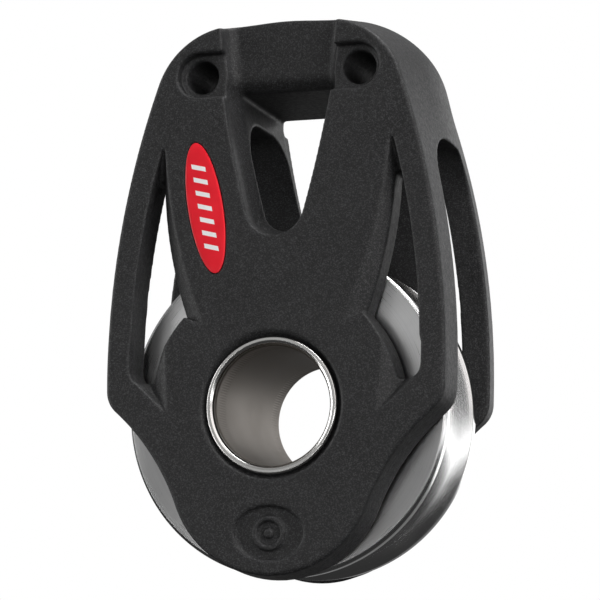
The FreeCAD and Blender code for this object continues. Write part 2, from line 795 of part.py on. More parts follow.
def make_rollers():
    """Rollers with broken edges, one body each, spaced round the pitch circle."""
    shoulder = "(sizes.roller_half_length - sizes.roller_chamfer)"
    flat = "(sizes.roller_radius - sizes.roller_chamfer)"
    profile = [
        ("0", "-sizes.roller_half_length"),
        (flat, "-sizes.roller_half_length"),
        ("sizes.roller_radius", "-" + shoulder),
        ("sizes.roller_radius", shoulder),
        (flat, "sizes.roller_half_length"),
        ("0", "sizes.roller_half_length"),
    ]
    rollers = []
    for index in range(ROLLER_COUNT):
        roller = turned_part("roller_%02d" % (index + 1), profile)
        turn = 360.0 * index / ROLLER_COUNT
        bind(
            roller, Placement__Base__x="%s * cos(%s deg)" % (PITCH, turn),
            Placement__Base__z="%s * sin(%s deg)" % (PITCH, turn))
        rollers.append(roller)
    return rollers


# ---------------------------------------------------------------- build and write

parts = [make_cheek_body(), make_hub_tube(), make_sheave()]
parts += make_races_and_washers()
parts.append(make_roller_cage())
parts += make_rollers()
parts += make_badges()
doc.recompute()

for item in doc.Objects:
    if "Invalid" in item.State or "Error" in item.State:
        raise RuntimeError("%s failed: %s" % (item.Label, item.State))
for part in parts:
    if part.Shape.isNull() or not part.Shape.isValid() or not part.Shape.Solids:
        raise RuntimeError("%s has no valid solid" % part.Label)

os.makedirs("parts", exist_ok=True)
for part in parts:
    part.Shape.exportStep("parts/%s.step" % part.Label)
    print("%-22s solids %d volume %9.3f" % (part.Label, len(part.Shape.Solids), part.Shape.Volume))
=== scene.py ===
import math

import bpy
import numpy as np
import openvdb
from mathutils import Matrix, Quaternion, Vector


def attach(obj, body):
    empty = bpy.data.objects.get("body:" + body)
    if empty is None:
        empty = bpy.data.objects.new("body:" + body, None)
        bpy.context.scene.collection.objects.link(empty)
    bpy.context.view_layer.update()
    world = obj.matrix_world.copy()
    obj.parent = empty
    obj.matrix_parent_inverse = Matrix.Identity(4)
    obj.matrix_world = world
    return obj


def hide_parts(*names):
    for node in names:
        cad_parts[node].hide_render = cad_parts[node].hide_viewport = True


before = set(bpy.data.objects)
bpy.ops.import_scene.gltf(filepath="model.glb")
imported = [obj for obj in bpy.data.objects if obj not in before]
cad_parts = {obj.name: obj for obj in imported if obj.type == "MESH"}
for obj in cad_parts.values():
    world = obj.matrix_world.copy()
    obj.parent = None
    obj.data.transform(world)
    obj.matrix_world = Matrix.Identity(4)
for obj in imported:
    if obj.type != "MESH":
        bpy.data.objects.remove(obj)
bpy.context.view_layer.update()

MM = 0.001
WHITE = (1.0, 1.0, 1.0)

# ------------------------------------------------------------------ sizes, in millimetres
#
# X is across the block, Y runs through it from front to rear, Z is up, and the hub's axis is Y.
# A pair of places for a fade is where it starts and where it is full.

GRID_STEP = 0.15
GRID_X, GRID_Y, GRID_Z = (-17.4, 17.4), (-9.9, 9.9), (-16.4, 36.9)

HALF_DEPTH = 9.0              # mid plane to the flat face of a cheek
SLOT_HALF = 5.6               # mid plane to the inner face of a cheek
SLOT_TOP = 27.0               # top of the sheave's space at the middle
SLOT_ARCH = 38.0              # radius of that top, seen from the front
SLOT_CORNER = 4.0             # radius of its corners, seen from the side

HEAD_TOP = 35.1
TOP_ARC = 30.0
SHOULDER_ARC = 7.5
SIDE_ARC = 80.0
SIDE_HALF_WIDTH = 15.8
SIDE_CENTRE_HEIGHT = 3.7
HIP_ARC = 2.5
HIP_HEIGHT = 1.5
WAIST_ARC = 21.0
FOOT_ARC = 9.5
FOOT_CENTRE_DEPTH = 5.4

DRAFT = math.radians(6.8)     # slope of the outer wall
DRAFT_START = 0.35            # from the face in to where the outline is measured
CROWN = 3.5                   # half depth of the rounded middle of the outer wall
SWELL = 0.95                  # how much more the shoulders swell than the rest
SWELL_HEIGHTS = (22.0, 33.0)
SWELL_SIDES = (2.5, 6.5)
FACE_ROUND = 0.28

ARM_WIDTH = 2.3
WINDOW_LOW = 2.2
WINDOW_TIP = 20.3
WINDOW_CORNER = 1.1
DISC_RIM = 11.6               # rim of the hub disc, where the window ends
STAR_HEIGHT = 8.0             # where the web's edge meets that rim
NOTCH_TOP = 23.4
NOTCH_START, NOTCH_SLOPE = 0.25, 0.42
BEVEL_LOW = 6.0
BEVEL_FOOT = ((6.4, 7.3), (8.45, 8.05))
BEVEL_ROUND = 0.12

VALLEY_FOOT, VALLEY_DEEP = (9.7, -0.85), (12.2, 2.4)
VALLEY_INNER, VALLEY_OUTER = (10.1, 4.8), (13.5, 2.6)
VALLEY_DEPTH = 1.2
VALLEY_FADE_IN, VALLEY_FADE_OUT = (7.8, 10.2), (13.7, 13.2)    # along X
VALLEY_FADE_UP = (6.0, 5.0)                                    # along Z

SADDLE_DEPTH = 2.3
SADDLE_ROUND = 1.2
MOUTH_LOW, PASSAGE_LOW = 17.2, 17.6
BRIDGE_UNDERSIDE = 28.95
KEEPER = (7.5, 30.2)
KEEPER_HOLE = 1.5
KEEPER_SLOT = 2.05
KEEPER_SLOT_DEPTH = 1.0
KEEPER_SLOT_END = 3.0

HUB_BORE = 5.3
HUB_WALL = 0.45
HUB_HALF_LENGTH = 8.95
HUB_SEAT = 5.8
SERRATION = (6.2, 7.8)        # from the mid plane to where the fine marks start and end
SERRATION_LOOPS = (5.7, 5.9, 6.1, 6.3, 7.0, 7.7, 7.9)
SERRATION_DEPTH, SERRATION_WAVES = 0.018, 72
COUNTERSINK, COUNTERSINK_DEPTH = 6.6, 1.0
COUNTERSINK_SLOPE = 0.7       # how much the cone narrows for each millimetre of depth
COUNTERSINK_LEAN = math.sqrt(0.67)    # cosine of that slope's angle
WASHER_SEAT, WASHER_SEAT_HALF = 9.7, 6.1

SHEAVE_R, SHEAVE_HALF, SHEAVE_BORE = 15.0, 5.2, 10.0
SHEAVE_CHAMFER, RIM_LAND = 0.3, 4.0
LIP_R, SEAT_HALF, ROOT_R = 14.15, 3.6, 11.2

MEDALLION = (0.0, -11.2)
MEDALLION_HALF, MEDALLION_DEPTH = (3.2, 2.35), 0.4
MARK_RING, MARK_HALF_WIDTH, MARK_DOT = 1.3, 0.22, 0.45
BADGE_CENTRE = (-6.55, 17.9)
BADGE_LEAN = math.radians(11.0)
BADGE_HALF = (1.65, 6.1)
BADGE_SEAT_DEPTH, BADGE_SEAT_GAP = 0.24, 0.05


# ------------------------------------------------------------------ distance fields

def meet(a, b, r):
    """Where both solids are, with the edge between them rounded by r."""
    return np.minimum(np.maximum(a, b), -r) + np.hypot(
        np.maximum(a + r, 0.0), np.maximum(b + r, 0.0))


def join(a, b, r):
    """Where either solid is, with the inner corner between them filled by r."""
    return -meet(-a, -b, r)


def carve(a, b, r):
    """Solid a without solid b, with the edge of the cut rounded by r."""
    return meet(a, -b, r)


def fade(value, start, end):
    """Smooth step from 0 at start to 1 at end."""
    t = np.clip((value - start) / (end - start), 0.0, 1.0)
    return t * t * (3.0 - 2.0 * t)


def upright(height, step):
    """What turns a depth under a sloping surface into a distance from it."""
    gx, gz = np.gradient(height, step)
    return 1.0 / np.sqrt(1.0 + gx ** 2 + gz ** 2)


def outline_distance(points, x, z):
    """Signed distance to a closed outline in the face's plane, negative inside."""
    nearest = np.full(np.broadcast(x, z).shape, 1e9)
    inside = np.zeros(nearest.shape, bool)
    for (ax, az), (bx, bz) in zip(points, points[1:] + points[:1]):
        ex, ez = bx - ax, bz - az
        length = ex * ex + ez * ez
        if length < 1e-12:
            continue
        t = np.clip(((x - ax) * ex + (z - az) * ez) / length, 0.0, 1.0)
        dx, dz = x - ax - t * ex, z - az - t * ez
        nearest = np.minimum(nearest, dx * dx + dz * dz)
        inside ^= ((az > z) != (bz > z)) & (x < (bx - ax) * (z - az) / (bz - az + 1e-12) + ax)
    distance = np.sqrt(nearest)
    return np.where(inside, -distance, distance)


def ellipse_distance(x, z, half_x, half_z):
    """Near distance to an ellipse about the origin, negative inside."""
    k0 = np.hypot(x / half_x, z / half_z)
    k1 = np.hypot(x / half_x ** 2, z / half_z ** 2)
    return k0 * (k0 - 1.0) / np.maximum(k1, 1e-6)


# ------------------------------------------------------------------ outlines of the moulded body

def arc(centre, radius, first, last, count):
    """Points along an arc, with angles in radians from +X towards +Z."""
    return [
        (centre[0] + radius * math.cos(a), centre[1] + radius * math.sin(a))
        for a in np.linspace(first, last, count)
    ]


def through(low, middle, high):
    """A height z to x curve through three points."""
    (z0, x0), (z1, x1), (z2, x2) = low, middle, high
    first = (x1 - x0) / (z1 - z0)
    second = ((x2 - x1) / (z2 - z1) - first) / (z2 - z0)
    return lambda z: x0 + first * (z - z0) + second * (z - z0) * (z - z1)


def bearing(a, b):
    """Angle of the way from point a to point b."""
    return math.atan2(b[1] - a[1], b[0] - a[0])


def circle_meeting(a, reach_a, b, reach_b):
    """Point at two distances from two centres, on the right of the way from a to b."""
    ux, uz = b[0] - a[0], b[1] - a[1]
    gap = math.hypot(ux, uz)
    ux, uz = ux / gap, uz / gap
    along = (reach_a ** 2 - reach_b ** 2 + gap ** 2) / (2 * gap)
    aside = -math.sqrt(reach_a ** 2 - along ** 2)
    return a[0] + ux * along - uz * aside, a[1] + uz * along + ux * aside


# Centres of the right half's arcs, from the top arc down to the foot arc.
TOP_C = (0.0, HEAD_TOP - TOP_ARC)
SIDE_C = (SIDE_HALF_WIDTH - SIDE_ARC, SIDE_CENTRE_HEIGHT)
SHOULDER_C = circle_meeting(TOP_C, TOP_ARC - SHOULDER_ARC, SIDE_C, SIDE_ARC - SHOULDER_ARC)
HIP_C = (
    SIDE_C[0] + math.sqrt((SIDE_ARC - HIP_ARC) ** 2 - (HIP_HEIGHT - SIDE_C[1]) ** 2), HIP_HEIGHT)
FOOT_C = (0.0, -FOOT_CENTRE_DEPTH)
WAIST_C = circle_meeting(FOOT_C, WAIST_ARC + FOOT_ARC, HIP_C, WAIST_ARC + HIP_ARC)


def body_outline():
    """Closed outline of a cheek's face, as a ring of tangent arcs."""
    shoulder, hip = bearing(TOP_C, SHOULDER_C), bearing(SIDE_C, HIP_C)
    right = arc(TOP_C, TOP_ARC, math.pi / 2, shoulder, 40)
    right += arc(SHOULDER_C, SHOULDER_ARC, shoulder, bearing(SIDE_C, SHOULDER_C), 60)
    right += arc(SIDE_C, SIDE_ARC, bearing(SIDE_C, SHOULDER_C), hip, 90)
    right += arc(HIP_C, HIP_ARC, hip, bearing(HIP_C, WAIST_C), 40)
    right += arc(WAIST_C, WAIST_ARC, bearing(WAIST_C, HIP_C), bearing(WAIST_C, FOOT_C), 50)
    right += arc(FOOT_C, FOOT_ARC, bearing(FOOT_C, WAIST_C), -math.pi / 2, 60)
    return right + [(-x, z) for x, z in right[::-1]]


def arm_inner(z):
    """x of the right arm's inner side at a height."""
    return SIDE_C[0] + math.sqrt((SIDE_ARC - ARM_WIDTH) ** 2 - (z - SIDE_C[1]) ** 2)


web_face_edge = through((7.3, 6.5), (15.2, 9.2), (23.3, 10.6))
web_shaft_edge = through((STAR_HEIGHT, 8.45), (14.6, 10.3), (21.7, 10.95))
mouth_side = through((18.3, 2.75), (25.3, 4.3), (34.3, 5.45))
passage_side = through((18.2, 2.1), (23.6, 3.45), (29.0, 4.6))


def window_outline():
    """The right window's shaft: web, round tip, arm, lower corner and the hub disc's rim."""
    web = [(web_shaft_edge(z), z) for z in np.linspace(STAR_HEIGHT, WINDOW_TIP, 30)]
    tip = [(0.5 * (web_shaft_edge(WINDOW_TIP) + arm_inner(WINDOW_TIP)), WINDOW_TIP + 0.3)]
    corner_height = WINDOW_LOW + WINDOW_CORNER
    arm_side = [(arm_inner(z), z) for z in np.linspace(WINDOW_TIP, corner_height, 40)]
    corner = arc(
        (arm_inner(corner_height) - WINDOW_CORNER, corner_height), WINDOW_CORNER, 0.0, -math.pi / 2, 10)
    rim = arc(
        (0.0, 0.0), DISC_RIM, math.asin(WINDOW_LOW / DISC_RIM), math.asin(STAR_HEIGHT / DISC_RIM), 30)
    return web + tip + arm_side + corner + rim[:-1]


def opening_outline(side, low):
    """Tall V of the lashing opening: curved sides down to a round bottom at a tangent height."""
    lean = math.atan((side(low + 0.05) - side(low - 0.05)) / 0.1)
    centre = (0.0, low + side(low) * math.tan(lean))
    bottom = arc(centre, side(low) / math.cos(lean), -lean, -math.pi + lean, 40)
    right = [(side(z), z) for z in np.linspace(HEAD_TOP + 4.0, low, 60)]
    return right[:-1] + bottom + [(-x, z) for x, z in right[-2::-1]]


# ------------------------------------------------------------------ moulded body as a field

class Grid:
    """Where the body's field is sampled: flat x and z for outlines, and x, y and z in space."""

    def __init__(self, step):
        xs, ys, zs = (np.arange(low, high + step, step) for low, high in (GRID_X, GRID_Y, GRID_Z))
        self.step = step
        self.corner = (xs[0], ys[0], zs[0])
        self.flat_x, self.flat_z = xs[:, None], zs[None, :]
        self.side_x = np.abs(self.flat_x)
        self.x = xs.astype(np.float32)[:, None, None]
        self.y = ys.astype(np.float32)[None, :, None]
        self.z = zs.astype(np.float32)[None, None, :]
        self.depth = np.abs(self.y)

    @staticmethod
    def spread(field):
        """A field in the face's plane, the same at every depth."""
        return np.ascontiguousarray(field, np.float32)[:, None, :]


def valley_facet(x, z, end):
    """Depth of a plane that is level from the valley's foot to end, and deepest at the window."""
    (ax, az), (bx, bz) = VALLEY_FOOT, end
    nx, nz = az - bz, bx - ax
    reach = (VALLEY_DEEP[0] - ax) * nx + (VALLEY_DEEP[1] - az) * nz
    return ((x - ax) * nx + (z - az) * nz) * VALLEY_DEPTH / reach


def blank(grid):
    """The outline with draft and a crown at mid depth, and two faces with a valley at each window."""
    slope = math.tan(DRAFT)
    edge_plane = HALF_DEPTH - DRAFT_START
    grown = np.where(
        grid.depth >= CROWN, (edge_plane - grid.depth) * slope,
        (edge_plane - CROWN) * slope + (CROWN ** 2 - grid.depth ** 2) / (2 * CROWN) * slope)
    swell = fade(grid.flat_z, *SWELL_HEIGHTS) * fade(grid.side_x, *SWELL_SIDES)
    grown = grown * grid.spread(1.0 + SWELL * swell)
    outline = outline_distance(body_outline(), grid.flat_x, grid.flat_z)
    wall = (grid.spread(outline) - grown) * math.cos(DRAFT)

    valley = np.minimum(
        valley_facet(grid.side_x, grid.flat_z, VALLEY_INNER),
        valley_facet(grid.side_x, grid.flat_z, VALLEY_OUTER))
    share = fade(grid.side_x, *VALLEY_FADE_IN) * fade(grid.side_x, *VALLEY_FADE_OUT)
    share = share * fade(grid.flat_z, *VALLEY_FADE_UP)
    lean = np.where(valley > 0.0, upright(valley, grid.step), 1.0)
    lean = 1.0 + (lean - 1.0) * share
    drop = np.maximum(valley, 0.0) * share
    cap = (grid.depth - (HALF_DEPTH - grid.spread(drop))) * grid.spread(lean)
    return meet(wall, cap, FACE_ROUND)


def sheave_space(grid):
    """The space between the cheeks, with an arched top and round corners."""
    arch = grid.x ** 2 / (2 * SLOT_ARCH)
    across = grid.depth - (SLOT_HALF - SLOT_CORNER)
    up = grid.z + arch - (SLOT_TOP - SLOT_CORNER)
    outside = np.hypot(np.maximum(across, 0), np.maximum(up, 0))
    return outside + np.minimum(np.maximum(across, up), 0) - SLOT_CORNER


def lashing_space(grid):
    """The saddle in each face and the passage between them, which leaves the bridge bar standing."""
    mouth = outline_distance(opening_outline(mouth_side, MOUTH_LOW), grid.flat_x, grid.flat_z)
    passage = outline_distance(opening_outline(passage_side, PASSAGE_LOW), grid.flat_x, grid.flat_z)
    saddle = meet(grid.spread(mouth), HALF_DEPTH - SADDLE_DEPTH - grid.depth, SADDLE_ROUND)
    under = meet(grid.spread(passage), grid.z - BRIDGE_UNDERSIDE, 0.5)
    return join(saddle, under, 1.5)


def window_bevel(grid):
    """The slope along the web, from the face down into the window and up into the notch over it."""
    edge = web_face_edge(np.clip(grid.flat_z, BEVEL_LOW, 23.3))
    width = np.maximum(web_shaft_edge(np.clip(grid.flat_z, BEVEL_LOW, 21.7)) - edge, 0.3)
    notch = NOTCH_START + (NOTCH_TOP - grid.flat_z) * NOTCH_SLOPE
    sunk = np.minimum((grid.side_x - edge) / width, notch)
    slope = (HALF_DEPTH - grid.spread(sunk) - grid.depth) * grid.spread(upright(sunk, grid.step))
    (x0, z0), (x1, z1) = BEVEL_FOOT
    above = ((grid.side_x - x0) * (z1 - z0) - (grid.flat_z - z0) * (x1 - x0)) / math.hypot(x1 - x0, z1 - z0)
    arm = np.hypot(grid.side_x - SIDE_C[0], grid.flat_z - SIDE_C[1]) - (SIDE_ARC - ARM_WIDTH)
    region = meet(above, np.maximum(arm, grid.flat_z - NOTCH_TOP), BEVEL_ROUND)
    return meet(slope, grid.spread(region), BEVEL_ROUND)


def keeper_slot(grid):
    """The shallow slot that runs from each keeper hole towards the middle."""
    beyond = np.maximum(grid.side_x - KEEPER[0], 0.0)
    slot = np.hypot(beyond, grid.flat_z - KEEPER[1]) - KEEPER_SLOT
    slot = np.maximum(slot, KEEPER_SLOT_END - grid.side_x)
    return meet(grid.spread(slot), HALF_DEPTH - KEEPER_SLOT_DEPTH - grid.depth, 0.2)


def countersink(grid, radius):
    """The cone round each end of the hub."""
    cone = (radius - COUNTERSINK + (HALF_DEPTH - grid.depth) * COUNTERSINK_SLOPE) * COUNTERSINK_LEAN
    return np.maximum(cone, HALF_DEPTH - COUNTERSINK_DEPTH - grid.depth)


def medallion(grid):
    """A sunk oval with a raised ring and dot left standing in it."""
    x, z = grid.flat_x - MEDALLION[0], grid.flat_z - MEDALLION[1]
    radius = np.hypot(x, z)
    mark = np.minimum(np.abs(radius - MARK_RING) - MARK_HALF_WIDTH, radius - MARK_DOT)
    oval = grid.spread(ellipse_distance(x, z, *MEDALLION_HALF))
    sunk = meet(oval, HALF_DEPTH - MEDALLION_DEPTH - grid.depth, 0.15)
    raised = meet(grid.spread(mark), grid.depth - (HALF_DEPTH - 0.02), 0.12)
    return carve(sunk, raised, 0.1)


def badge_seat(grid, side):
    """The seat of the front (side -1) or rear (side 1) badge."""
    dx, dz = -side * grid.flat_x - BADGE_CENTRE[0], grid.flat_z - BADGE_CENTRE[1]
    across = dx * math.cos(BADGE_LEAN) + dz * math.sin(BADGE_LEAN)
    along = dz * math.cos(BADGE_LEAN) - dx * math.sin(BADGE_LEAN)
    oval = ellipse_distance(across, along, BADGE_HALF[0] + BADGE_SEAT_GAP, BADGE_HALF[1] + BADGE_SEAT_GAP)
    return np.maximum(grid.spread(oval), HALF_DEPTH - BADGE_SEAT_DEPTH - side * grid.y)


def body_field(grid):
    """The moulded body as a distance field on a grid."""
    radius = grid.spread(np.hypot(grid.flat_x, grid.flat_z))
    window = outline_distance(window_outline(), grid.side_x, grid.flat_z)
    keeper = np.hypot(grid.side_x - KEEPER[0], grid.flat_z - KEEPER[1]) - KEEPER_HOLE
    body = blank(grid)
    for cut, rounding in (
            (sheave_space(grid), 0.25),
            (lashing_space(grid), 0.22),
            (grid.spread(window), 0.16),
            (window_bevel(grid), BEVEL_ROUND),
            (grid.spread(keeper), 0.15),
            (keeper_slot(grid), 0.3),
            (radius - HUB_SEAT, 0.1),
            (countersink(grid, radius), 0.1)):
        body = carve(body, cut, rounding)
    body = np.maximum(body, -np.maximum(radius - WASHER_SEAT, grid.depth - WASHER_SEAT_HALF))
    body = carve(body, medallion(grid), 0.18)
    for side in (-1, 1):
        body = np.maximum(body, -badge_seat(grid, side))
    return np.ascontiguousarray(body, np.float32)


# ------------------------------------------------------------------ meshes

def smooth_mesh(name, verts, faces, sharp_degrees=None):
    """A smooth-shaded mesh from points in metres, sharp where faces meet at more than an angle."""
    mesh = bpy.data.meshes.new(name)
    mesh.from_pydata(verts, [], faces)
    mesh.validate()
    mesh.polygons.foreach_set("use_smooth", np.ones(len(mesh.polygons), bool))
    if sharp_degrees:
        mesh.set_sharp_from_angle(angle=math.radians(sharp_degrees))
    mesh.update()
    return mesh


def field_mesh(name, grid, field):
    """A closed mesh of a distance field's surface."""
    volume = openvdb.FloatGrid(1.0)
    volume.copyFromArray(field)
    points, triangles, quads = volume.convertToPolygons(isovalue=0.0, adaptivity=0.0)
    verts = np.asarray(points, np.float64) * grid.step + np.asarray(grid.corner)
    faces = [tuple(int(i) for i in face[::-1]) for group in (triangles, quads) for face in group]
    return smooth_mesh(name, (verts * MM).tolist(), faces)


def rounded_profile(corners, steps=4):
    """Profile points from (r, y, fillet) corners of a closed profile, each fillet as a short arc."""
    out = []
    for i, (r, y, fillet) in enumerate(corners):
        here = Vector((r, y))
        if fillet <= 0:
            out.append((r, y))
            continue
        back = Vector(corners[i - 1][:2]) - here
        ahead = Vector(corners[(i + 1) % len(corners)][:2]) - here
        u, v = back.normalized(), ahead.normalized()
        half = math.acos(max(-1.0, min(1.0, u.dot(v)))) / 2
        cut = min(fillet / math.tan(half), back.length * 0.49, ahead.length * 0.49)
        radius = cut * math.tan(half)
        centre = here + (u + v).normalized() * (radius / math.sin(half))
        a, b = here + u * cut - centre, here + v * cut - centre
        for k in range(steps + 1):
            t = k / steps
            out.append(tuple(centre + (a * (1 - t) + b * t).normalized() * radius))
    return out


def lathe(name, profile, segments, wobble=None):
    """A closed ring turned about Y from a closed profile of (r, y) points, in millimetres."""
    verts = []
    for a in np.linspace(0, 2 * math.pi, segments, endpoint=False):
        for r, y in profile:
            reach = r + (wobble(a, r, y) if wobble else 0.0)
            verts.append((reach * math.cos(a) * MM, y * MM, reach * math.sin(a) * MM))
    n = len(profile)
    faces = []
    for s in range(segments):
        t = (s + 1) % segments
        for k in range(n):
            m = (k + 1) % n
            faces.append((s * n + k, s * n + m, t * n + m, t * n + k))
    return smooth_mesh(name, verts, faces, 35)


def add_object(name, mesh):
    piece = bpy.data.objects.new(name, mesh)
    bpy.context.scene.collection.objects.link(piece)
    return piece


# ------------------------------------------------------------------ shader nodes

def node_material(name):
    material = bpy.data.materials.new(name)
    material.use_nodes = True
    return material, material.node_tree, material.node_tree.nodes["Principled BSDF"]


def add(tree, kind, **values):
    node = tree.nodes.new(kind)
    for key, value in values.items():
        setattr(node, key, value)
    return node


def noise(tree, vector, scale, detail=2.0, roughness=0.5, dims="3D"):
    node = add(tree, "ShaderNodeTexNoise", noise_dimensions=dims)
    node.inputs["Scale"].default_value = scale
    node.inputs["Detail"].default_value = detail
    node.inputs["Roughness"].default_value = roughness
    tree.links.new(vector, node.inputs["W" if dims == "1D" else "Vector"])
    return node.outputs["Fac"]


def maths(tree, operation, a, b=None):
    node = add(tree, "ShaderNodeMath", operation=operation)
    for socket, value in zip(node.inputs, (a, b)):
        if isinstance(value, (int, float)):
            socket.default_value = value
        elif value is not None:
            tree.links.new(value, socket)
    return node.outputs[0]


def ramp(tree, fac, low, high):
    """Colour ramp between two (place, colour) stops."""
    node = add(tree, "ShaderNodeValToRGB")
    for element, (place, colour) in zip(node.color_ramp.elements, (low, high)):
        element.position = place
        element.color = (*colour, 1.0)
    tree.links.new(fac, node.inputs["Fac"])
    return node.outputs["Color"]


def blend(tree, fac, a, b):
    """Mix of two colours, where b may be a plain colour."""
    node = add(tree, "ShaderNodeMix", data_type="RGBA")
    tree.links.new(fac, node.inputs["Factor"])
    tree.links.new(a, node.inputs["A"])
    if isinstance(b, tuple):
        node.inputs["B"].default_value = (*b, 1.0)
    else:
        tree.links.new(b, node.inputs["B"])
    return node.outputs["Result"]


def stretch(tree, fac, low, high, out_low, out_high, interpolation="LINEAR"):
    """Map low..high to out_low..out_high, held at both ends."""
    node = add(tree, "ShaderNodeMapRange", clamp=True, interpolation_type=interpolation)
    names = ("From Min", "From Max", "To Min", "To Max")
    for socket, value in zip(names, (low, high, out_low, out_high)):
        node.inputs[socket].default_value = value
    tree.links.new(fac, node.inputs["Value"])
    return node.outputs["Result"]


def bump(tree, height, strength, distance):
    node = add(tree, "ShaderNodeBump")
    node.inputs["Strength"].default_value = strength
    node.inputs["Distance"].default_value = distance
    tree.links.new(height, node.inputs["Height"])
    return node.outputs["Normal"]


def object_space(tree):
    """The place on the object, whole and as separate X, Y and Z."""
    place = add(tree, "ShaderNodeTexCoord").outputs["Object"]
    split = add(tree, "ShaderNodeSeparateXYZ")
    tree.links.new(place, split.inputs["Vector"])
    return place, split.outputs


# ------------------------------------------------------------------ materials

def nylon_material():
    """Black glass-filled nylon: a fine spark-eroded grain, with small glints painted into its colour as
    light grey specks.
    """
    material, tree, shader = node_material("black_nylon")
    place = object_space(tree)[0]
    fine = noise(tree, place, 7000.0, 2.0, 0.6)
    coarse = noise(tree, place, 2600.0, 2.0, 0.55)
    tone = noise(tree, place, 120.0, 2.0, 0.5)
    cells = add(tree, "ShaderNodeTexVoronoi")
    cells.inputs["Scale"].default_value = 12500.0
    tree.links.new(place, cells.inputs["Vector"])
    split = add(tree, "ShaderNodeSeparateColor")
    tree.links.new(cells.outputs["Color"], split.inputs["Color"])
    # Painted glints: where a small cell's value is high, the base colour turns towards light grey.
    painted_glint = maths(tree, "MULTIPLY", stretch(tree, split.outputs["Red"], 0.60, 1.0, 0.0, 1.0), 0.35)
    mottle = maths(tree, "ADD", maths(tree, "MULTIPLY", coarse, 0.7), maths(tree, "MULTIPLY", tone, 0.3))
    dark = ramp(tree, mottle, (0.32, (0.009, 0.009, 0.0093)), (0.68, (0.017, 0.017, 0.0175)))
    tree.links.new(blend(tree, painted_glint, dark, (0.11, 0.11, 0.115)), shader.inputs["Base Color"])
    tree.links.new(stretch(tree, coarse, 0.3, 0.7, 0.46, 0.62), shader.inputs["Roughness"])
    height = maths(tree, "ADD", maths(tree, "MULTIPLY", fine, 0.4), coarse)
    tree.links.new(bump(tree, height, 0.55, 0.00006), shader.inputs["Normal"])
    shader.inputs["Specular IOR Level"].default_value = 0.35
    return material


def turned_metal(name, colour, dull, bright, lines, depth, anisotropy, zone, painted_shade_colour=None):
    """Turned metal: tool lines round the axis, with a dull zone and a bright zone.

    dull and bright are roughness ranges. zone gives the field that parts them, "along" or
    "radius", and where it passes from bright to dull. painted_shade_colour, if given, is a darker
    colour for the dull zone: painted shade, which the hub uses inside its bore.
    """
    material, tree, shader = node_material(name)
    place, split = object_space(tree)
    xx = maths(tree, "MULTIPLY", split["X"], split["X"])
    zz = maths(tree, "MULTIPLY", split["Z"], split["Z"])
    radius = maths(tree, "SQRT", maths(tree, "ADD", xx, zz))
    path = maths(tree, "ADD", radius, maths(tree, "MULTIPLY", split["Y"], 1.37))
    tool = noise(tree, path, lines, 3.0, 0.6, "1D")
    cloud = noise(tree, place, 260.0, 3.0, 0.55)
    shade = maths(tree, "ADD", maths(tree, "MULTIPLY", tool, 0.5), maths(tree, "MULTIPLY", cloud, 0.5))
    field_name, bright_at, dull_at = zone
    reach = maths(tree, "ABSOLUTE", split["Y"]) if field_name == "along" else radius
    dullness_and_painted_shade = stretch(tree, reach, bright_at, dull_at, 0.0, 1.0)

    def shaded(paint):
        return ramp(tree, shade, (0.3, tuple(c * 0.84 for c in paint)), (0.7, paint))

    paint = shaded(colour)
    # Where painted_shade_colour is given, the dull zone turns to it: painted shade, for the hub inside its
    # bore.
    if painted_shade_colour:
        paint = blend(tree, dullness_and_painted_shade, paint, shaded(painted_shade_colour))
    tree.links.new(paint, shader.inputs["Base Color"])
    rough_bright = stretch(tree, shade, 0.3, 0.7, *bright)
    rough_dull = stretch(tree, shade, 0.3, 0.7, *dull)
    span = maths(tree, "SUBTRACT", rough_dull, rough_bright)
    rough = maths(tree, "ADD", rough_bright, maths(tree, "MULTIPLY", span, dullness_and_painted_shade))
    tree.links.new(rough, shader.inputs["Roughness"])
    shader.inputs["Metallic"].default_value = 1.0
    shader.inputs["Anisotropic"].default_value = anisotropy
    tangent = add(tree, "ShaderNodeTangent", direction_type="RADIAL", axis="Y")
    tree.links.new(tangent.outputs["Tangent"], shader.inputs["Tangent"])
    tree.links.new(bump(tree, tool, 0.35, depth), shader.inputs["Normal"])
    return material


def plain_polymer(name, colour, roughness):
    material, tree, shader = node_material(name)
    place = object_space(tree)[0]
    grain = noise(tree, place, 3000.0, 3.0, 0.6)
    tone = noise(tree, place, 200.0, 2.0, 0.5)
    low = tuple(c * 0.88 for c in colour)
    tree.links.new(ramp(tree, tone, (0.3, low), (0.7, colour)), shader.inputs["Base Color"])
    rough = stretch(tree, grain, 0.3, 0.7, roughness - 0.06, roughness + 0.06)
    tree.links.new(rough, shader.inputs["Roughness"])
    tree.links.new(bump(tree, grain, 0.2, 0.00002), shader.inputs["Normal"])
    return material


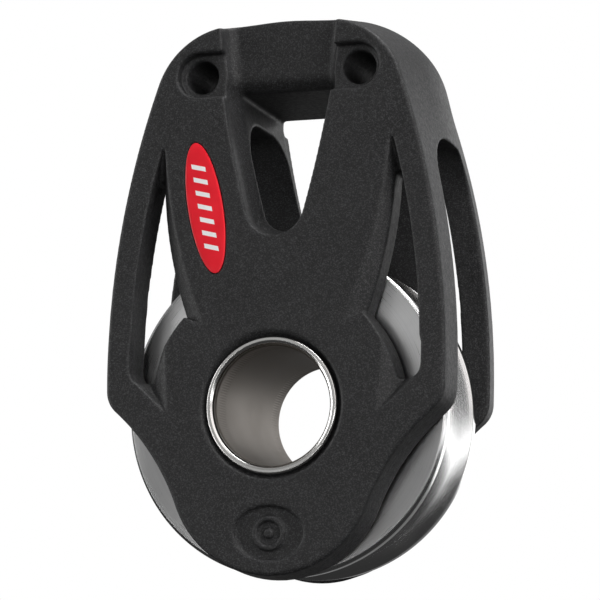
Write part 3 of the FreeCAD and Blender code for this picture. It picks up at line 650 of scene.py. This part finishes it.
def badge_material():
    """Red film with a plain row of white slanted bars."""
    material, tree, shader = node_material("badge_red_film")
    place, split = object_space(tree)
    # the rear badge is the front one turned half way round Z
    side = maths(tree, "MULTIPLY", maths(tree, "SIGN", split["Y"]), -1.0)
    dx = maths(tree, "SUBTRACT", maths(tree, "MULTIPLY", split["X"], side), BADGE_CENTRE[0] * MM)
    dz = maths(tree, "SUBTRACT", split["Z"], BADGE_CENTRE[1] * MM)
    c, s = math.cos(BADGE_LEAN), math.sin(BADGE_LEAN)
    across = maths(tree, "ADD", maths(tree, "MULTIPLY", dx, c), maths(tree, "MULTIPLY", dz, s))
    along = maths(tree, "SUBTRACT", maths(tree, "MULTIPLY", dz, c), maths(tree, "MULTIPLY", dx, s))
    slanted = maths(tree, "ADD", along, maths(tree, "MULTIPLY", across, 0.45))
    beat = maths(tree, "PINGPONG", slanted, 0.62 * MM)
    bars = stretch(tree, beat, 0.24 * MM, 0.20 * MM, 0.0, 1.0)
    length = stretch(tree, maths(tree, "ABSOLUTE", along), 4.45 * MM, 4.40 * MM, 0.0, 1.0)
    width = stretch(tree, maths(tree, "ABSOLUTE", across), 0.66 * MM, 0.62 * MM, 0.0, 1.0)
    mark = maths(tree, "MULTIPLY", maths(tree, "MULTIPLY", bars, length), width)
    ripple = noise(tree, place, 500.0, 2.0, 0.5)
    red = ramp(tree, ripple, (0.3, (0.70, 0.010, 0.022)), (0.7, (0.78, 0.014, 0.028)))
    white = ramp(tree, ripple, (0.3, (0.80, 0.80, 0.80)), (0.7, (0.86, 0.86, 0.86)))
    tree.links.new(blend(tree, mark, red, white), shader.inputs["Base Color"])
    tree.links.new(stretch(tree, ripple, 0.3, 0.7, 0.28, 0.38), shader.inputs["Roughness"])
    shader.inputs["Specular IOR Level"].default_value = 0.25
    tree.links.new(bump(tree, ripple, 0.05, 0.00005), shader.inputs["Normal"])
    return material


NYLON = nylon_material()
SHEAVE_SATIN = turned_metal(
    "turned_aluminium", (0.74, 0.74, 0.74), (0.26, 0.34), (0.12, 0.22), 9000.0, 0.000008, 0.85,
    ("along", 0.00505, 0.00515))
# The hub's bore colour (0.25, 0.225, 0.20) is painted shade inside the tube.
HUB_STEEL = turned_metal(
    "hub_steel_bright", (0.86, 0.85, 0.83), (0.50, 0.64), (0.14, 0.24), 7000.0, 0.000008, 0.35,
    ("radius", 0.00545, 0.00535), (0.25, 0.225, 0.20))
RACE_STEEL = turned_metal(
    "ground_steel", (0.56, 0.56, 0.57), (0.22, 0.34), (0.18, 0.28), 12000.0, 0.000004, 0.3,
    ("along", 0.004, 0.005))
CAGE = plain_polymer("cage_polymer_natural", (0.62, 0.50, 0.30), 0.45)
WASHER = plain_polymer("washer_polymer_pale", (0.75, 0.73, 0.68), 0.5)
BADGE_RED = badge_material()


# ------------------------------------------------------------------ pieces

def sheave_profile():
    """Half section of the sheave, with the rope groove as one arc between two lips."""
    sag = LIP_R - ROOT_R
    radius = (SEAT_HALF ** 2 + sag ** 2) / (2 * sag)
    angle = math.asin(SEAT_HALF / radius)
    low = [
        (SHEAVE_BORE, SHEAVE_HALF, 0.15), (SHEAVE_R - SHEAVE_CHAMFER, SHEAVE_HALF, 0.05),
        (SHEAVE_R, SHEAVE_HALF - SHEAVE_CHAMFER, 0.06), (SHEAVE_R, RIM_LAND, 0.08)]
    groove = [
        (ROOT_R + radius * (1 - math.cos(a)), radius * math.sin(a), 0.0)
        for a in np.linspace(-angle, angle, 33)]
    return rounded_profile([(r, -y, fillet) for r, y, fillet in low] + groove + low[::-1])


def hub_profile():
    """Half section of the hub tube, with a flared lip at each end."""
    outer = HUB_BORE + HUB_WALL
    lip = (    # radius, distance in from the end, fillet
        (HUB_BORE, 0.6, 0.25), (HUB_BORE + 0.14, 0.34, 0.1), (HUB_BORE + 0.22, 0.14, 0.1),
        (HUB_BORE + 0.42, 0.0, 0.14), (outer + 0.22, 0.0, 0.12), (outer + 0.38, 0.22, 0.1),
        (outer, 0.6, 0.1))
    half = [(HUB_BORE, y, 0.0) for y in SERRATION_LOOPS]
    half += [(r, HUB_HALF_LENGTH - inset, fillet) for r, inset, fillet in lip]
    return rounded_profile([(r, -y, fillet) for r, y, fillet in half] + half[::-1])


def serration(angle, r, y):
    """Fine marks just inside each lip."""
    if r < HUB_BORE + 0.01 and SERRATION[0] < abs(y) < SERRATION[1]:
        return SERRATION_DEPTH * abs(math.sin(SERRATION_WAVES * angle))
    return 0.0


def badge_mesh(name, side):
    """The front (side -1) or rear (side 1) badge: a thin crowned oval with a rolled edge."""
    rings = (    # share of the half widths, height over the face
        (0.0, 0.075), (0.25, 0.074), (0.5, 0.070), (0.75, 0.064), (0.9, 0.055), (0.965, 0.035),
        (1.0, -0.01), (1.0, -0.24))
    segments = 96
    c, s = math.cos(BADGE_LEAN), math.sin(BADGE_LEAN)
    verts, faces = [], []
    for share, height in rings:
        for k in range(segments):
            a = 2 * math.pi * k / segments
            u, v = BADGE_HALF[0] * share * math.cos(a), BADGE_HALF[1] * share * math.sin(a)
            x, z = BADGE_CENTRE[0] + u * c - v * s, BADGE_CENTRE[1] + u * s + v * c
            verts.append((-side * x * MM, side * (HALF_DEPTH + height) * MM, z * MM))
    for low in range(0, (len(rings) - 1) * segments, segments):
        high = low + segments
        for k in range(segments):
            m = (k + 1) % segments
            faces.append((low + k, low + m, high + m, high + k))
    faces.append(tuple((len(rings) - 1) * segments + k for k in range(segments)))
    return smooth_mesh(name, verts, faces, 40)


body_grid = Grid(GRID_STEP)
for name, mesh, material, body, node, slot in (
        ("moulded_cheek_body", field_mesh("moulded_cheek_body", body_grid, body_field(body_grid)),
         NYLON, "root", "cheek_body", "moulded_nylon"),
        ("turned_sheave", lathe("turned_sheave", sheave_profile(), 288),
         SHEAVE_SATIN, "sheave", "sheave", "sheave_alloy"),
        ("flared_hub_tube", lathe("flared_hub_tube", hub_profile(), 864, serration),
         HUB_STEEL, "root", "hub_tube", "hub_steel"),
        ("front_badge_plate", badge_mesh("front_badge_plate", -1),
         BADGE_RED, "root", "front_badge", "badge_red"),
        ("rear_badge_plate", badge_mesh("rear_badge_plate", 1),
         BADGE_RED, "root", "rear_badge", "badge_red")):
    mesh.materials.append(material)
    piece = add_object(name, mesh)
    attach(piece, body)
    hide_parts(node)

# The bearing's pieces keep their shape from model.glb, and take these materials.
for node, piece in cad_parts.items():
    if node.startswith("roller_cage"):
        material = CAGE
    elif node.endswith("washer"):
        material = WASHER
    elif node.startswith("roller_") or node.endswith("race"):
        material = RACE_STEEL
    else:
        continue
    for material_slot in piece.material_slots:
        material_slot.material = material

# ------------------------------------------------------------------ camera and floor, in metres

AZIMUTH, ELEVATION, ROLL = math.radians(18.99), math.radians(-8.46), math.radians(0.95)
CAMERA_DISTANCE, FLOOR_HEIGHT, FLOOR_REACH = 0.200, -0.25, 3.0

back = Vector((
    math.sin(AZIMUTH) * math.cos(ELEVATION), -math.cos(AZIMUTH) * math.cos(ELEVATION),
    math.sin(ELEVATION)))
camera_data = bpy.data.cameras.new("camera")
camera_data.lens = 129.9
camera_data.sensor_width = 36.0
camera_data.clip_start = 0.005
camera_data.clip_end = 20.0
camera = add_object("camera", camera_data)
camera.location = Vector((-0.49, 0.0, 10.62)) * MM + back * CAMERA_DISTANCE
camera.rotation_mode = "QUATERNION"
camera.rotation_quaternion = (-back).to_track_quat("-Z", "Y") @ Quaternion((0, 0, 1), ROLL)
bpy.context.scene.camera = camera

floor_mesh = bpy.data.meshes.new("floor")
floor_mesh.from_pydata(
    [(x * FLOOR_REACH, y * FLOOR_REACH, FLOOR_HEIGHT) for x, y in ((-1, -1), (1, -1), (1, 1), (-1, 1))],
    [], [(0, 1, 2, 3)])
floor = add_object("floor", floor_mesh)
floor_material, _, floor_shader = node_material("pale_floor")
floor_shader.inputs["Base Color"].default_value = (0.82, 0.82, 0.82, 1.0)
floor_shader.inputs["Roughness"].default_value = 0.9
floor_shader.inputs["Emission Color"].default_value = (*WHITE, 1.0)
floor_shader.inputs["Emission Strength"].default_value = 0.62
floor_mesh.materials.append(floor_material)
floor.visible_glossy = False
floor.visible_diffuse = False

# ------------------------------------------------------------------ world and light

# The camera sees white. Everything else sees a dim sky that fades downwards and is lighter behind.
world = bpy.data.worlds.new("studio")
bpy.context.scene.world = world
world.use_nodes = True
sky = world.node_tree
plain = sky.nodes["Background"]
plain.inputs["Color"].default_value = (*WHITE, 1.0)
plain.inputs["Strength"].default_value = 1.0
dim = add(sky, "ShaderNodeBackground")
dim.inputs["Color"].default_value = (*WHITE, 1.0)
direction = add(sky, "ShaderNodeSeparateXYZ")
sky.links.new(add(sky, "ShaderNodeTexCoord").outputs["Generated"], direction.inputs["Vector"])
rise = stretch(sky, direction.outputs["Z"], -0.35, 0.25, 0.04, 0.26, "SMOOTHSTEP")
behind = stretch(sky, direction.outputs["Y"], 0.45, 0.95, 0.0, 0.13, "SMOOTHSTEP")
sky.links.new(maths(sky, "ADD", rise, behind), dim.inputs["Strength"])
choose = add(sky, "ShaderNodeMixShader")
sky.links.new(add(sky, "ShaderNodeLightPath").outputs["Is Camera Ray"], choose.inputs["Fac"])
sky.links.new(dim.outputs["Background"], choose.inputs[1])
sky.links.new(plain.outputs["Background"], choose.inputs[2])
sky.links.new(choose.outputs["Shader"], sky.nodes["World Output"].inputs["Surface"])


def soft_light(name, place, width, height, power, aim_height=0.01, colour=WHITE, mirrored=True):
    """A rectangular light aimed at the block's axis. Metal shows it only if it is mirrored."""
    data = bpy.data.lights.new(name, "AREA")
    data.shape = "RECTANGLE"
    data.size, data.size_y = width, height
    data.energy = power
    data.color = colour
    light = add_object(name, data)
    light.visible_glossy = mirrored
    light.location = place
    light.rotation_mode = "QUATERNION"
    light.rotation_quaternion = (Vector((0, 0, aim_height)) - Vector(place)).to_track_quat("-Z", "Y")


soft_light("key", (0.57, -0.20, 0.18), 0.30, 0.42, 2.1, mirrored=False)
soft_light("sheen", (0.50, -0.30, 0.34), 0.55, 0.60, 1.00, colour=(1.0, 0.96, 0.94))
soft_light("groove", (0.56, -0.20, -0.055), 0.28, 0.10, 0.21, aim_height=0.0)
soft_light("level", (0.30, -0.52, -0.045), 0.60, 0.09, 0.50, aim_height=0.0)
soft_light("facet", (0.34, -0.54, 0.12), 0.22, 0.20, 0.45, mirrored=False)
soft_light("left", (-0.55, -0.12, 0.05), 0.30, 0.50, 1.6)
soft_light("front", (-0.22, -0.62, 0.12), 0.34, 0.34, 0.06)
soft_light("fan right", (-0.02, -0.62, -0.09), 0.12, 0.08, 0.12, aim_height=0.0)
soft_light("fan left", (-0.37, -0.50, -0.07), 0.12, 0.08, 0.16, aim_height=0.0)
soft_light("top", (0.22, -0.04, 0.58), 0.40, 0.30, 3.2)
soft_light("rear", (0.24, 0.60, 0.11), 0.35, 0.45, 0.72)

bpy.context.scene.view_settings.view_transform = "Standard"
bpy.context.scene.view_settings.look = "None"
